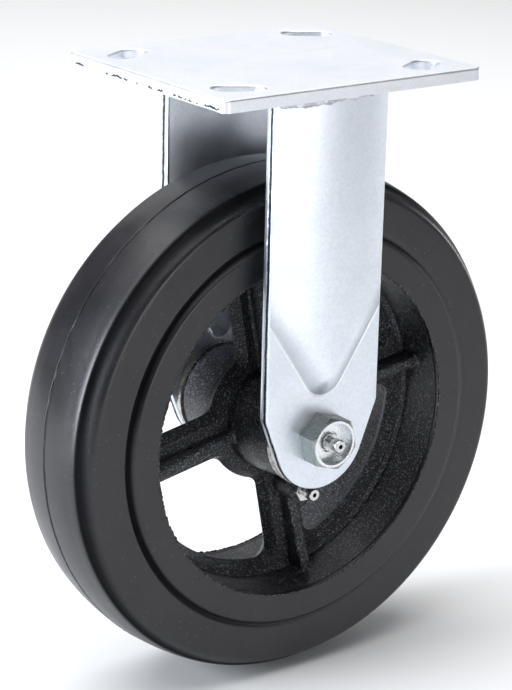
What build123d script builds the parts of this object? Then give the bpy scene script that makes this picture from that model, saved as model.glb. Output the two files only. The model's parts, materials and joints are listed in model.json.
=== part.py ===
from build123d import *
from math import atan2, cos, degrees, hypot, radians, sin, sqrt, tan
import os

# A fixed castor, in millimetres. The origin is the centre of the plate's top face and +Z is up.
# The wheel turns about Y, and the axle bolt's head faces -Y.

# Main sizes
wheel_diameter = 203.2
wheel_to_plate = 33.34
fork_gap = 63.5
axle_diameter = 12.7

# Top plate, whose slots run from a long bolt pattern to a square one
plate_length = 117.5
plate_width = 101.6
plate_thickness = 4.76
plate_corner_radius = 2.5
plate_edge_radius = 0.9
slot_edge_distance = 12.7
slot_run_x = 7.95
slot_run_y = 4.75
slot_width = 10.3

# Legs, pressed outward above a crease shaped like a rounded V
leg_thickness = 4.2
leg_width = 52.6
leg_taper_angle = 21.3
leg_end_radius = 20.5
crown_depth = 5.0
crown_blend = 2.5
crown_run = 54.5
crown_levels = 12
crown_steps = 6
crease_half_angle = 33.6
crease_wall_angle = 32.0
crease_nose_radius = 9.5
crease_nose_above_axle = 26.8
axle_hole_clearance = 0.2

# Weld beads along the legs' tops
weld_leg_heavy = 5.0
weld_leg_light = 3.4
weld_end_inset = 1.2
weld_root = 1.5
weld_fullness = 0.6
weld_section_count = 5

# Axle bolt with its recessed head
bolt_head_flats = 19.05
bolt_head_height = 8.7
bolt_head_turn = 43.0
bolt_head_face_diameter = 18.3
hex_chamfer_angle = 30.0
head_recess_diameter = 16.5
head_recess_depth = 4.0
head_counterbore_diameter = 8.4
head_counterbore_depth = 1.2
turned_ring_count = 3
turned_ring_depth = 0.15
bolt_past_nut = 2.0
bolt_end_chamfer = 1.2
grease_passage_diameter = 3.2

# Lock nut with its insert ring
nut_flats = 19.05
nut_face_diameter = 18.0
nut_hex_height = 11.2
nut_collar_height = 3.4
nut_collar_diameter = 17.4
insert_diameter = 15.2
insert_height = 2.4
insert_cover = 0.8
thread_clearance = 0.03

# Grease nipples
nipple_thread_diameter = 6.0
nipple_thread_length = 5.5
nipple_collar_diameter = 7.0
nipple_hex_flats = 7.9
nipple_base_height = 2.6
nipple_stem_height = 5.9
nipple_neck_diameter = 4.0
nipple_neck_height = 1.6
nipple_head_diameter = 5.0
nipple_tip_diameter = 4.4
nipple_head_slope = 0.6
nipple_mouth_diameter = 1.5
nipple_mouth_depth = 1.0
nipple_chamber_diameter = 2.6
nipple_foot_bore = 1.2
nipple_foot_wall = 0.8
nipple_ball_diameter = 2.0
nipple_ball_clearance = 0.03
spring_mean_diameter = 1.6
spring_wire = 0.3
spring_turns = 7

# Stack between the legs
bushing_diameter = 19.05
bushing_bore_clearance = 0.1
washer_thickness = 3.2
washer_diameter = 41.3
washer_bore_clearance = 0.15
washer_chamfer = 0.4
hub_end_float = 0.3

# Roller bearing
hub_bore_diameter = 30.16
roller_count = 8
roller_length = 50.0
roller_running_clearance = 0.03
roller_end_chamfer = 0.4
cage_inner_diameter = 20.8
cage_outer_diameter = 28.4
cage_length = 54.0
cage_pocket_clearance = 0.1

# Cast wheel core
rim_width = 46.0
rim_thickness = 7.2
rim_flare = 0.8
rib_foot_width = 11.0
rib_shoulder_height = 1.7
rib_crest_height = 5.2
web_thickness = 9.0
web_ring_radius = 27.3
web_draft_angle = 31.0
spoke_count = 4
spoke_angle = 11.0
spoke_web_width = 19.4
window_corner_radius = 5.0
fin_thickness = 5.0
fin_reach_at_hub = 8.5
fin_reach_at_rim = 13.9
fin_edge_radius = 1.3
casting_fillet_radius = 1.5
hub_end_diameter = 40.0
hub_foot_diameter = 43.0
hub_end_chamfer = 0.8

# Boss for the hub's grease nipple
boss_diameter = 11.0
boss_face_offset = 16.0
boss_pitch_radius = 29.5
boss_angle = -77.0

# Moulded rubber tyre
tyre_width = 50.8
tyre_depth = 27.1
sidewall_width = 48.0
tread_width = 28.0
tread_crown = 1.3
shoulder_drop = 10.7
parting_ridge_height = 0.3
parting_ridge_width = 0.9
groove_below_tread = 22.1
groove_width = 3.6
groove_depth = 1.5
band_edge_drop = 0.8

# Places that follow from the sizes
wheel_radius = wheel_diameter / 2
overall_height = wheel_diameter + wheel_to_plate + plate_thickness
axle_z = wheel_radius - overall_height
axle_radius = axle_diameter / 2
leg_inner_y = fork_gap / 2
leg_outer_y = leg_inner_y + leg_thickness
hub_length = fork_gap - 2 * (washer_thickness + hub_end_float)
hub_bore_radius = hub_bore_diameter / 2
rim_outer_radius = wheel_radius - tyre_depth
rim_edge_radius = rim_outer_radius - rim_thickness
rim_throat_radius = rim_edge_radius - rim_flare
rib_shoulder_radius = rim_throat_radius - rib_shoulder_height
rib_crest_radius = rim_throat_radius - rib_crest_height
axle_point = (0, 0, axle_z)
wheel_axis = Axis(axle_point, (0, 1, 0))
wheel_plane = Plane(origin=axle_point, x_dir=(1, 0, 0), z_dir=(0, -1, 0))
section_plane = Plane(origin=axle_point, x_dir=(0, 1, 0), z_dir=(1, 0, 0))

os.makedirs("parts", exist_ok=True)


def polar(radius, angle):
    """A point of the wheel plane at this radius, with the angle in degrees from +X."""
    return (radius * cos(radians(angle)), radius * sin(radians(angle)))


# Top plate
slot_length = hypot(slot_run_x, slot_run_y)
slot_angle = degrees(atan2(-slot_run_y, slot_run_x))
slot_mid_x = plate_length / 2 - slot_edge_distance - slot_run_x / 2
slot_mid_y = plate_width / 2 - slot_edge_distance - slot_run_y / 2

with BuildPart() as top_plate:
    with BuildSketch():
        RectangleRounded(plate_length, plate_width, plate_corner_radius)
    extrude(amount=-plate_thickness)
    with BuildSketch():
        with Locations((slot_mid_x, slot_mid_y)):
            SlotCenterToCenter(slot_length, slot_width, rotation=slot_angle)
        mirror(about=Plane.XZ)
        mirror(about=Plane.YZ)
    extrude(amount=-plate_thickness, mode=Mode.SUBTRACT)
    fillet(top_plate.faces().sort_by(Axis.Z)[-1].edges(), radius=plate_edge_radius)
top_plate.part.label = "top_plate"
export_step(top_plate.part, "parts/top_plate.step")

# Legs. In plan the crown is an arc as wide as the leg. Down the leg a wall rises from the
# crease, and the swelling follows the lower of the two, blended softly into each other.
crown_radius = (leg_width**2 / 4 + crown_depth**2) / (2 * crown_depth)
crown_centre_y = crown_radius - crown_depth - leg_outer_y
crease_z = axle_z + crease_nose_above_axle
crease_angle = radians(crease_half_angle)


def swelling_depth(across, up, inset):
    """How far the swelling stands out, from its middle and up from the centre of the crease's nose."""
    radius = crown_radius - inset
    crown = sqrt(radius**2 - across**2) - radius + crown_depth
    if across * sin(crease_angle) + up * cos(crease_angle) < 0:
        reach = hypot(across, up)
    else:
        reach = across * cos(crease_angle) - up * sin(crease_angle)
    wall = (crease_nose_radius - inset - reach) * tan(radians(crease_wall_angle))
    return (crown + wall - hypot(crown - wall, crown_blend)) / 2


def pressed_swelling(flat_y, inset):
    """What stands out from the flat at -flat_y, with the crease drawn in by inset."""
    half_width = leg_width / 2 + leg_thickness / 2
    lowest = -crease_nose_radius - leg_thickness / 2
    sections = []
    for level in range(crown_levels + 1):
        up = lowest + crown_run * level / crown_levels
        profile = []
        for step in range(-crown_steps, crown_steps + 1):
            across = half_width * step / crown_steps
            profile.append((across, -flat_y - swelling_depth(abs(across), up, inset)))
        with BuildSketch(Plane.XY.offset(crease_z + up)) as section:
            with BuildLine():
                Spline(*profile)
                Polyline(profile[-1], (half_width, 0), (-half_width, 0), profile[0])
            make_face()
        sections.append(section.sketch)
    with BuildPart() as swelling:
        loft(sections)
        extrude(sections[-1], amount=-plate_thickness - crease_z - lowest - crown_run)
        with BuildSketch(Plane.XZ.offset(flat_y)):
            Rectangle(leg_width, 2 * overall_height)
        extrude(amount=2 * crown_depth, mode=Mode.INTERSECT)
    return swelling.part


taper = radians(leg_taper_angle)
taper_foot = (leg_end_radius * cos(taper), axle_z - leg_end_radius * sin(taper))
taper_top = (leg_width / 2, taper_foot[1] + (leg_width / 2 - taper_foot[0]) / tan(taper))

with BuildPart() as front_leg:
    with BuildSketch(Plane.XZ.offset(leg_inner_y)):
        with BuildLine() as outline:
            Polyline((0, -plate_thickness), (leg_width / 2, -plate_thickness), taper_top, taper_foot)
            ThreePointArc(
                taper_foot,
                (leg_end_radius * sin(taper), axle_z - leg_end_radius * cos(taper)),
                (0, axle_z - leg_end_radius),
            )
            mirror(about=Plane.YZ)
        make_face()
    extrude(amount=leg_thickness)
    add(pressed_swelling(leg_outer_y, 0))
    add(pressed_swelling(leg_inner_y, leg_thickness), mode=Mode.SUBTRACT)
    with BuildSketch(wheel_plane.offset(leg_inner_y)):
        Circle((axle_diameter + axle_hole_clearance) / 2)
    extrude(amount=leg_thickness, mode=Mode.SUBTRACT)
front_leg.part.label = "front_leg"
export_step(front_leg.part, "parts/front_leg.step")

with BuildPart() as rear_leg:
    mirror(front_leg.part, about=Plane.XZ)
rear_leg.part.label = "rear_leg"
export_step(rear_leg.part, "parts/rear_leg.step")

# Weld beads, laid along the crown's arc in the corner under the plate, heavier at one end
weld_half_angle = degrees(atan2(leg_width / 2 - weld_end_inset, crown_radius))

with BuildPart() as front_leg_weld:
    for step in range(weld_section_count):
        share = step / (weld_section_count - 1)
        angle = weld_half_angle * (2 * share - 1)
        leg_length = weld_leg_heavy + (weld_leg_light - weld_leg_heavy) * share
        outward = (sin(radians(angle)), -cos(radians(angle)), 0)
        along = (cos(radians(angle)), sin(radians(angle)), 0)
        weld_origin = (0, crown_centre_y, -plate_thickness)
        with BuildSketch(Plane(origin=weld_origin, x_dir=outward, z_dir=along)):
            with BuildLine():
                root = crown_radius - weld_root
                toe = crown_radius + leg_length
                middle = (crown_radius + weld_fullness * leg_length, weld_fullness * leg_length)
                Line((root, 0), (toe, 0))
                ThreePointArc((toe, 0), middle, (crown_radius, leg_length))
                Line((crown_radius, leg_length), (root, leg_length))
                Line((root, leg_length), (root, 0))
            make_face()
    loft()
    add(front_leg.part, mode=Mode.SUBTRACT)
front_leg_weld.part.label = "front_leg_weld"
export_step(front_leg_weld.part, "parts/front_leg_weld.step")

with BuildPart() as rear_leg_weld:
    mirror(front_leg_weld.part, about=Plane.XZ)
rear_leg_weld.part.label = "rear_leg_weld"
export_step(rear_leg_weld.part, "parts/rear_leg_weld.step")

# Axle bolt. Lengths along it are counted outward from the front leg's face.
head_face_y = leg_outer_y + bolt_head_height
recess_floor_y = head_face_y - head_recess_depth
nipple_seat_y = recess_floor_y - head_counterbore_depth
nut_height = nut_hex_height + nut_collar_height
bolt_end_y = leg_outer_y + nut_height + bolt_past_nut
ring_run = (head_recess_diameter - head_counterbore_diameter) / 2 / (turned_ring_count + 1)
head_corner_radius = bolt_head_flats / sqrt(3)
head_chamfer_height = (head_corner_radius - bolt_head_face_diameter / 2) * tan(radians(hex_chamfer_angle))

with BuildPart() as axle_bolt:
    with BuildSketch(wheel_plane.offset(leg_outer_y)):
        RegularPolygon(bolt_head_flats / 2, 6, major_radius=False, rotation=bolt_head_turn)
    extrude(amount=bolt_head_height)
    with BuildSketch(section_plane):
        with BuildLine():
            Polyline(
                (-leg_outer_y, 0),
                (-leg_outer_y, head_corner_radius),
                (head_chamfer_height - head_face_y, head_corner_radius),
                (-head_face_y, bolt_head_face_diameter / 2),
                (-head_face_y, 0),
                close=True,
            )
        make_face()
    revolve(axis=wheel_axis, mode=Mode.INTERSECT)
    with BuildSketch(wheel_plane.offset(head_face_y)):
        Circle(head_recess_diameter / 2)
    extrude(amount=-head_recess_depth, mode=Mode.SUBTRACT)
    with BuildSketch(wheel_plane.offset(recess_floor_y)):
        for ring in range(turned_ring_count):
            ring_radius = head_counterbore_diameter / 2 + ring_run * (ring + 1)
            Circle(ring_radius)
            Circle(ring_radius - ring_run / 2, mode=Mode.SUBTRACT)
    extrude(amount=-turned_ring_depth, mode=Mode.SUBTRACT)
    with BuildSketch(wheel_plane.offset(recess_floor_y)):
        Circle(head_counterbore_diameter / 2)
    extrude(amount=-head_counterbore_depth, mode=Mode.SUBTRACT)
    with BuildSketch(wheel_plane.offset(leg_outer_y)):
        Circle(axle_radius)
    extrude(amount=-leg_outer_y - bolt_end_y)
    chamfer(axle_bolt.faces().sort_by(Axis.Y)[-1].edges(), length=bolt_end_chamfer)
    with BuildSketch(wheel_plane.offset(nipple_seat_y)):
        Circle(nipple_thread_diameter / 2 + thread_clearance)
    extrude(amount=-nipple_thread_length - thread_clearance, mode=Mode.SUBTRACT)
    with BuildSketch(wheel_plane.offset(nipple_seat_y)):
        Circle(grease_passage_diameter / 2)
    extrude(amount=-nipple_seat_y, mode=Mode.SUBTRACT)
    with BuildSketch(Plane.XY.offset(axle_z)):
        Circle(grease_passage_diameter / 2)
    extrude(amount=axle_diameter, both=True, mode=Mode.SUBTRACT)
axle_bolt.part.label = "axle_bolt"
export_step(axle_bolt.part, "parts/axle_bolt.step")

# Lock nut on the rear leg, with a ring of softer stuff in its collar
nut_corner_radius = nut_flats / sqrt(3)
nut_chamfer_height = (nut_corner_radius - nut_face_diameter / 2) * tan(radians(hex_chamfer_angle))
nut_end_y = leg_outer_y + nut_height
insert_end_y = nut_end_y - insert_cover

with BuildPart() as lock_nut:
    with BuildSketch(wheel_plane.offset(-leg_outer_y)):
        RegularPolygon(nut_flats / 2, 6, major_radius=False)
    extrude(amount=-nut_hex_height)
    with BuildSketch(section_plane):
        with BuildLine():
            Polyline(
                (leg_outer_y, 0),
                (leg_outer_y, nut_face_diameter / 2),
                (leg_outer_y + nut_chamfer_height, nut_corner_radius),
                (nut_end_y - nut_collar_height - nut_chamfer_height, nut_corner_radius),
                (nut_end_y - nut_collar_height, nut_face_diameter / 2),
                (nut_end_y - nut_collar_height, 0),
                close=True,
            )
        make_face()
    revolve(axis=wheel_axis, mode=Mode.INTERSECT)
    with BuildSketch(wheel_plane.offset(nut_collar_height - nut_end_y)):
        Circle(nut_collar_diameter / 2)
    extrude(amount=-nut_collar_height)
    fillet(lock_nut.faces().sort_by(Axis.Y)[-1].edges(), radius=insert_cover)
    with BuildSketch(wheel_plane.offset(-leg_outer_y)):
        Circle(axle_radius + thread_clearance)
    extrude(amount=-nut_height, mode=Mode.SUBTRACT)
    with BuildSketch(wheel_plane.offset(-insert_end_y)):
        Circle(insert_diameter / 2)
    extrude(amount=insert_height, mode=Mode.SUBTRACT)
lock_nut.part.label = "lock_nut"
export_step(lock_nut.part, "parts/lock_nut.step")

with BuildPart() as lock_nut_insert:
    with BuildSketch(wheel_plane.offset(-insert_end_y)):
        Circle(insert_diameter / 2)
        Circle(axle_radius + thread_clearance, mode=Mode.SUBTRACT)
    extrude(amount=insert_height)
lock_nut_insert.part.label = "lock_nut_insert"
export_step(lock_nut_insert.part, "parts/lock_nut_insert.step")

# Grease nipples, each with a ball that a spring holds against the mouth.
# Their heights are counted outward, along -Y, from the seat.
chamber_radius = nipple_chamber_diameter / 2
ball_radius = nipple_ball_diameter / 2
mouth_cone = chamber_radius - nipple_mouth_diameter / 2
chamber_top = nipple_stem_height + nipple_base_height - nipple_mouth_depth - mouth_cone
ball_height = chamber_top + chamber_radius - sqrt(2) * (ball_radius + nipple_ball_clearance)
spring_foot = nipple_foot_wall - nipple_thread_length + spring_wire / 2
under_ball = sqrt(ball_radius**2 - spring_mean_diameter**2 / 4)
spring_top = ball_height - under_ball - spring_wire / 2 - nipple_ball_clearance


def seat_plane(seat):
    """The plane through a nipple's axis, with its heights along the plane's Y."""
    return Plane(origin=seat, x_dir=(1, 0, 0), z_dir=(0, 0, -1))


def grease_nipple(seat, hexagonal):
    """A nipple screwed in at its seat, on a hexagon or on a round collar."""
    head_foot = nipple_base_height + nipple_neck_height
    tip = nipple_base_height + nipple_stem_height
    with BuildPart() as nipple:
        with BuildSketch(seat_plane(seat)):
            with BuildLine():
                Polyline(
                    (0, -nipple_thread_length),
                    (nipple_thread_diameter / 2, -nipple_thread_length),
                    (nipple_thread_diameter / 2, nipple_base_height),
                    (nipple_neck_diameter / 2, nipple_base_height),
                    (nipple_neck_diameter / 2, head_foot),
                    (nipple_head_diameter / 2, head_foot + nipple_head_slope),
                    (nipple_head_diameter / 2, tip - nipple_head_slope),
                    (nipple_tip_diameter / 2, tip),
                    (0, tip),
                    close=True,
                )
            make_face()
        revolve(axis=Axis(seat, (0, 1, 0)))
        with BuildSketch(Plane(origin=seat, x_dir=(1, 0, 0), z_dir=(0, -1, 0))):
            if hexagonal:
                RegularPolygon(nipple_hex_flats / 2, 6, major_radius=False)
            else:
                Circle(nipple_collar_diameter / 2)
        extrude(amount=nipple_base_height)
        with BuildSketch(seat_plane(seat)):
            with BuildLine():
                Polyline(
                    (0, -nipple_thread_length),
                    (nipple_foot_bore / 2, -nipple_thread_length),
                    (nipple_foot_bore / 2, nipple_foot_wall - nipple_thread_length),
                    (chamber_radius, nipple_foot_wall - nipple_thread_length),
                    (chamber_radius, chamber_top),
                    (nipple_mouth_diameter / 2, chamber_top + mouth_cone),
                    (nipple_mouth_diameter / 2, tip),
                    (0, tip),
                    close=True,
                )
            make_face()
        revolve(axis=Axis(seat, (0, 1, 0)), mode=Mode.SUBTRACT)
    return nipple.part


def nipple_ball(seat):
    with BuildPart() as ball:
        with Locations((seat[0], seat[1] - ball_height, seat[2])):
            Sphere(ball_radius)
    return ball.part


def nipple_spring(seat):
    run = spring_top - spring_foot
    foot = (seat[0], seat[1] - spring_foot, seat[2])
    with BuildPart() as spring:
        with BuildLine() as coil:
            Helix(run / spring_turns, run, spring_mean_diameter / 2, center=foot, direction=(0, -1, 0))
        with BuildSketch(Plane(origin=coil.line @ 0, z_dir=coil.line % 0)):
            Circle(spring_wire / 2)
        sweep(is_frenet=True)
    return spring.part


boss_x, boss_up = polar(boss_pitch_radius, boss_angle)
axle_nipple_seat = (0, -nipple_seat_y, axle_z)
hub_nipple_seat = (boss_x, -boss_face_offset, axle_z + boss_up)

axle_nipple = grease_nipple(axle_nipple_seat, hexagonal=False)
axle_nipple.label = "axle_grease_nipple"
export_step(axle_nipple, "parts/axle_grease_nipple.step")

axle_ball = nipple_ball(axle_nipple_seat)
axle_ball.label = "axle_nipple_ball"
export_step(axle_ball, "parts/axle_nipple_ball.step")

axle_spring = nipple_spring(axle_nipple_seat)
axle_spring.label = "axle_nipple_spring"
export_step(axle_spring, "parts/axle_nipple_spring.step")

hub_nipple = grease_nipple(hub_nipple_seat, hexagonal=True)
hub_nipple.label = "hub_grease_nipple"
export_step(hub_nipple, "parts/hub_grease_nipple.step")

hub_ball = nipple_ball(hub_nipple_seat)
hub_ball.label = "hub_nipple_ball"
export_step(hub_ball, "parts/hub_nipple_ball.step")

hub_spring = nipple_spring(hub_nipple_seat)
hub_spring.label = "hub_nipple_spring"
export_step(hub_spring, "parts/hub_nipple_spring.step")

# Spanner bushing, clamped between the legs as the bearing's inner race
with BuildPart() as spanner_bushing:
    with BuildSketch(wheel_plane.offset(-leg_inner_y)):
        Circle(bushing_diameter / 2)
        Circle(axle_radius + bushing_bore_clearance, mode=Mode.SUBTRACT)
    extrude(amount=fork_gap)
    with BuildSketch(Plane.XY.offset(axle_z)):
        Circle(grease_passage_diameter / 2)
    extrude(amount=bushing_diameter, both=True, mode=Mode.SUBTRACT)
spanner_bushing.part.label = "spanner_bushing"
export_step(spanner_bushing.part, "parts/spanner_bushing.step")

# Thrust washers, against the legs
with BuildPart() as front_thrust_washer:
    with BuildSketch(wheel_plane.offset(leg_inner_y)):
        Circle(washer_diameter / 2)
        Circle(bushing_diameter / 2 + washer_bore_clearance, mode=Mode.SUBTRACT)
    extrude(amount=-washer_thickness)
    outer_edges = front_thrust_washer.edges().filter_by(GeomType.CIRCLE).sort_by(SortBy.RADIUS)[-2:]
    chamfer(outer_edges, length=washer_chamfer)
front_thrust_washer.part.label = "front_thrust_washer"
export_step(front_thrust_washer.part, "parts/front_thrust_washer.step")

with BuildPart() as rear_thrust_washer:
    mirror(front_thrust_washer.part, about=Plane.XZ)
rear_thrust_washer.part.label = "rear_thrust_washer"
export_step(rear_thrust_washer.part, "parts/rear_thrust_washer.step")

# Rollers, which fill the gap between the bushing and the hub's bore but for a running clearance
roller_radius = (hub_bore_diameter - bushing_diameter) / 4 - roller_running_clearance
roller_pitch_radius = (hub_bore_diameter + bushing_diameter) / 4

for number in range(roller_count):
    roller_x, roller_up = polar(roller_pitch_radius, 90 - number * 360 / roller_count)
    with BuildPart() as roller:
        with BuildSketch(wheel_plane.offset(-roller_length / 2)):
            with Locations((roller_x, roller_up)):
                Circle(roller_radius)
        extrude(amount=roller_length)
        chamfer(roller.edges().filter_by(GeomType.CIRCLE), length=roller_end_chamfer)
    roller.part.label = f"roller_{number + 1}"
    export_step(roller.part, f"parts/roller_{number + 1}.step")

# Roller cage, a tube with a pocket for each roller
pocket_length = roller_length + 2 * cage_pocket_clearance

with BuildPart() as roller_cage:
    with BuildSketch(wheel_plane.offset(-cage_length / 2)):
        Circle(cage_outer_diameter / 2)
        Circle(cage_inner_diameter / 2, mode=Mode.SUBTRACT)
    extrude(amount=cage_length)
    with BuildSketch(wheel_plane.offset(-pocket_length / 2)):
        with PolarLocations(roller_pitch_radius, roller_count, start_angle=90):
            Circle(roller_radius + cage_pocket_clearance)
    extrude(amount=pocket_length, mode=Mode.SUBTRACT)
roller_cage.part.label = "roller_cage"
export_step(roller_cage.part, "parts/roller_cage.step")

# Cast wheel core. A fin stands on each spoke's web, along the spoke and on both sides of it.
with BuildPart() as fin:
    with BuildSketch(section_plane):
        with BuildLine():
            fin_foot = (hub_bore_radius + hub_end_diameter / 2) / 2
            fin_head = (rim_throat_radius + rim_outer_radius) / 2
            Polyline(
                (0, fin_foot),
                (fin_reach_at_hub, fin_foot),
                (fin_reach_at_rim, fin_head),
                (0, fin_head),
            )
            mirror(about=Plane.YZ)
        make_face()
    extrude(amount=fin_thickness / 2, both=True)
    long_edges = fin.edges().filter_by(Axis.X, reverse=True).filter_by(Axis.Y, reverse=True)
    fillet(long_edges, radius=fin_edge_radius)

with BuildPart() as wheel_core:
    with BuildSketch(section_plane):
        with BuildLine():
            Polyline(
                (0, hub_bore_radius),
                (hub_length / 2, hub_bore_radius),
                (hub_length / 2, hub_end_diameter / 2),
                (web_thickness / 2, hub_foot_diameter / 2),
                (web_thickness / 2, rib_shoulder_radius),
                (rib_foot_width / 2, rim_throat_radius),
                (rim_width / 2, rim_edge_radius),
                (rim_width / 2, rim_outer_radius),
                (0, rim_outer_radius),
            )
            mirror(about=Plane.YZ)
        make_face()
    revolve(axis=wheel_axis)
    with BuildSketch(wheel_plane) as windows:
        Circle(rib_crest_radius)
        Circle(web_ring_radius, mode=Mode.SUBTRACT)
        with PolarLocations(rib_crest_radius / 2, spoke_count, start_angle=spoke_angle):
            Rectangle(rib_crest_radius, spoke_web_width, mode=Mode.SUBTRACT)
        fillet(windows.vertices(), radius=window_corner_radius)
    extrude(amount=web_thickness, both=True, taper=-web_draft_angle, mode=Mode.SUBTRACT)
    fin_angles = [90 - spoke_angle - number * 360 / spoke_count for number in range(spoke_count)]
    add([fin.part.rotate(wheel_axis, angle) for angle in fin_angles])
    fillet(wheel_core.edges(Select.NEW), radius=casting_fillet_radius)
    with BuildSketch(wheel_plane):
        with Locations((boss_x, boss_up)):
            Circle(boss_diameter / 2)
    extrude(amount=boss_face_offset)
    with BuildSketch(wheel_plane.offset(boss_face_offset)):
        with Locations((boss_x, boss_up)):
            Circle(nipple_thread_diameter / 2 + thread_clearance)
    extrude(amount=-nipple_thread_length - thread_clearance, mode=Mode.SUBTRACT)
    passage_start = Vector(boss_x, nipple_thread_length - boss_face_offset, axle_z + boss_up)
    passage_run = Vector(0, 0, axle_z) - passage_start
    with BuildSketch(Plane(origin=passage_start, z_dir=passage_run)):
        Circle(grease_passage_diameter / 2)
    extrude(amount=passage_run.length - bushing_diameter / 2, mode=Mode.SUBTRACT)
    with BuildSketch(wheel_plane.offset(-hub_length / 2)):
        Circle(hub_bore_radius)
    extrude(amount=hub_length, mode=Mode.SUBTRACT)
    hub_ends = wheel_core.faces().sort_by(Axis.Y)
    hub_edges = hub_ends[0].edges() + hub_ends[-1].edges()
    chamfer(hub_edges.sort_by(SortBy.RADIUS)[-2:], length=hub_end_chamfer)
wheel_core.part.label = "wheel_core"
export_step(wheel_core.part, "parts/wheel_core.step")

# Moulded tyre, lapped round the rim's edges, with a raised band beside the rim
tread_radius = wheel_radius - parting_ridge_height
shoulder_foot = tread_radius - tread_crown - shoulder_drop
groove_radius = wheel_radius - groove_below_tread
groove_lip = groove_radius - groove_width / 2
side_y = sidewall_width / 2
band_y = tyre_width / 2

with BuildPart() as tyre:
    with BuildSketch(section_plane):
        with BuildLine():
            Line((0, wheel_radius), (parting_ridge_width / 2, tread_radius))
            Spline(
                (parting_ridge_width / 2, tread_radius),
                (tread_width / 2, tread_radius - tread_crown),
                (side_y, shoulder_foot),
                tangents=[(1, 0), (0, -1)],
            )
            Line((side_y, shoulder_foot), (side_y, groove_radius + groove_width / 2))
            ThreePointArc(
                (side_y, groove_radius + groove_width / 2),
                (side_y - groove_depth, groove_radius),
                (side_y, groove_lip),
            )
            Polyline(
                (side_y, groove_lip),
                (band_y, groove_lip - band_edge_drop),
                (band_y, rim_edge_radius),
                (rim_width / 2, rim_edge_radius),
                (rim_width / 2, rim_outer_radius),
                (0, rim_outer_radius),
            )
            mirror(about=Plane.YZ)
        make_face()
    revolve(axis=wheel_axis)
tyre.part.label = "tyre"
export_step(tyre.part, "parts/tyre.step")
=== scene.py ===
import json
import math

import bmesh
import bpy
import numpy as np
from mathutils import Matrix, Vector


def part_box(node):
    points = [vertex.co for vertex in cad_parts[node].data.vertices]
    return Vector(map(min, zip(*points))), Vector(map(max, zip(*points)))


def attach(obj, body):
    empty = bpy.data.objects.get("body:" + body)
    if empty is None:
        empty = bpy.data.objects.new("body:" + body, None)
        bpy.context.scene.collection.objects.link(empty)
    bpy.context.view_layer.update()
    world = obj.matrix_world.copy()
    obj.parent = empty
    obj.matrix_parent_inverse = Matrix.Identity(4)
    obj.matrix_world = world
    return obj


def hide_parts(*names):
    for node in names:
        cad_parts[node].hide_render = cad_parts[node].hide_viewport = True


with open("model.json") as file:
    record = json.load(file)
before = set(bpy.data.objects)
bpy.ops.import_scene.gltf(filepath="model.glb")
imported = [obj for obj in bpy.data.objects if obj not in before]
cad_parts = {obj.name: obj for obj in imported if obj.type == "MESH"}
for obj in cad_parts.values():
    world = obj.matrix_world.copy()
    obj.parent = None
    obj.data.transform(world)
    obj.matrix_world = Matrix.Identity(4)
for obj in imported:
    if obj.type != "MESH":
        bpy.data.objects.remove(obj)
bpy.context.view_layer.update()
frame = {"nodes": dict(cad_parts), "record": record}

# The dressed model of a fixed castor. Mesh code works in millimetres and is scaled by MM.
nodes = frame["nodes"]
MM = 0.001


def box_mm(node):
    """The node's lowest and highest corners in millimetres."""
    low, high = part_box(node)
    return np.array(low) / MM, np.array(high) / MM


# Sizes read from the frame
plate_low, plate_high = box_mm("top_plate")
leg_low, leg_high = box_mm("front_leg")
bushing_low, bushing_high = box_mm("spanner_bushing")
tyre_high = box_mm("tyre")[1]
core_high = box_mm("wheel_core")[1]
axle_z = (bushing_low[2] + bushing_high[2]) / 2
leg_inner_y = bushing_high[1]
leg_half_width = leg_high[0]
wheel_radius = tyre_high[0]
band_y = tyre_high[1]
rim_outer_radius = core_high[0]

# Leg, pressed outward above a crease shaped like a rounded V
leg_thickness = 4.2
leg_outer_y = leg_inner_y + leg_thickness
leg_taper = math.radians(21.3)
leg_end_radius = axle_z - leg_low[2]
crown_depth = 5.0
crown_blend = 1.1
crease_angle = math.radians(33.6)
crease_wall_slope = math.tan(math.radians(32.0))
crease_nose_radius = 9.5
crease_z = axle_z + 26.8
crown_radius = (leg_half_width**2 + crown_depth**2) / (2 * crown_depth)
axle_hole_radius = 6.45

# Leg edges: the outer corner is rolled, then comes the rough band that shearing leaves
edge_roll = 0.55
sheared_depth = 1.9
sheared_hollow = 0.20
inner_corner = 0.3
leg_columns = 129

# The distance inside the crease is stored with this added, so that 0 means no crease at all
crease_zero = 100.0

# Mouths of the grease nipples, as x and z
hub_nipple_low, hub_nipple_high = box_mm("hub_grease_nipple")
mouth_centres = [(0.0, axle_z), ((hub_nipple_low[0] + hub_nipple_high[0]) / 2,
                                 (hub_nipple_low[2] + hub_nipple_high[2]) / 2)]

# Tyre section, from the crest of the tread down to the rim
sidewall_y = 24.0
tread_half = 14.0
tread_crown = 1.3
ridge_height = 0.3
shoulder_drop = 10.7
groove_radius = 79.5
groove_depth = 1.7
groove_spread = 1.15
groove_reach = 3.6
lip_radius = 67.3
rim_half_width = 23.0
tyre_steps = 640

# Parting seam, a cleft beside a thread of flash
seam_seed = 4
seam_wander = 0.24
cleft_y = 0.08
cleft_spread = 0.44
cleft_depth = 0.6
flash_y = -0.44
flash_size = 0.14
flash_steps = 1400

# Angle where the groove is deepest, and the least share of its depth on the other side
groove_angle = math.radians(165)
groove_least = 0.12

# Band of painted shade below the shoulder
shade_band_from_y = 16.6
shade_band_down_to = 7.4

# Ragged lip and its flash at the rim
lip_raggedness = 0.22
rim_flash_size = 0.40
rim_flash_steps = 1100

# Weld beads, heavy at one end
weld_heavy = 4.4
weld_taper = 1.5
weld_scallops = 23
weld_inset = 1.0

# Band at the foot of the plate's ends
band_height = 1.25
band_inset = 3.0

# Mouth of a grease nipple
mouth_radius = 0.92

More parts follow.
